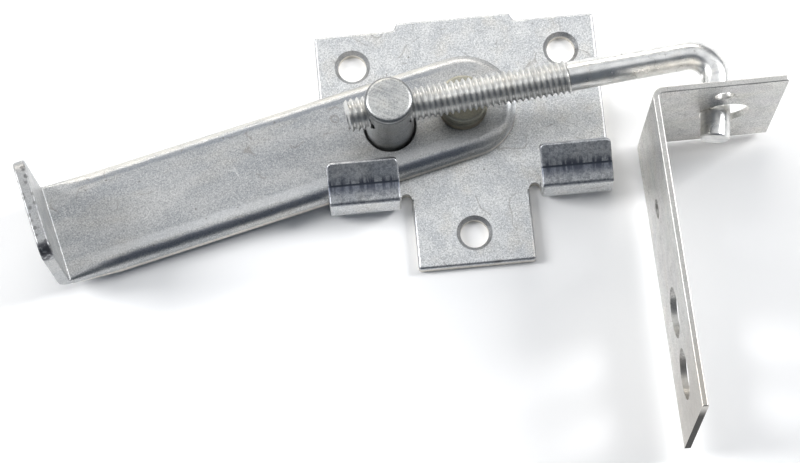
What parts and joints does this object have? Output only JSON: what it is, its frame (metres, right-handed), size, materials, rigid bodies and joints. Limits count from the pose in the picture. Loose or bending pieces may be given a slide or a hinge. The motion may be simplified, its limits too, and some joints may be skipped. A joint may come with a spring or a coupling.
{
  "type": "over-centre gate latch",
  "caption": "Over-centre toggle latch for a gate: a lever on a base plate pulls a threaded hook bolt that holds an angle strike.",
  "frame": {"origin": "on the handle's pivot axis, in the back face of the base plate that lies on the gate or jamb", "axes": "+Z out of the base plate, +X along its long edge towards the strike, +Y towards its top edge, away from the ears and tongue"},
  "size_m": [0.18, 0.1124, 0.0425],
  "materials": {
    "plate_zinc": "bright zinc plate, fine mottle",
    "rivet_zinc": "yellowish zinc plate",
    "handle_zinc": "zinc plate, satin",
    "post_steel": "turned steel, thin zinc",
    "bolt_zinc": "bright zinc plate",
    "strike_zinc": "zinc plate, faint iridescence"
  },
  "bodies": {
    "base": {"base_plate": "plate_zinc", "pivot_rivet": "rivet_zinc", "pivot_washer": "rivet_zinc", "pivot_spacer": "rivet_zinc"},
    "handle": {"handle": "handle_zinc"},
    "post": {"trunnion_post": "post_steel"},
    "hook": {"hook_bolt": "bolt_zinc"},
    "strike": {"strike_bracket": "strike_zinc"}
  },
  "joints": [
    {"name": "handle_swing", "type": "hinge", "parent": "base", "child": "handle", "pos_m": [0, 0, 0], "axis": [0, 0, -1], "range_deg": [0, 203]},
    {"name": "post_swivel", "type": "hinge", "parent": "handle", "child": "post", "pos_m": [-0.01794, -0.00322, 0], "axis": [0, 0, 1], "range_deg": [-90, 170]},
    {"name": "bolt_adjust", "type": "slide", "parent": "post", "child": "hook", "axis": [0.996, 0.0889, 0], "range_m": [-0.00423, 0.00423]},
    {"name": "strike_unhook", "type": "slide", "parent": "hook", "child": "strike", "axis": [-0.134, -0.991, 0], "range_m": [0, 0.024]}
  ]
}
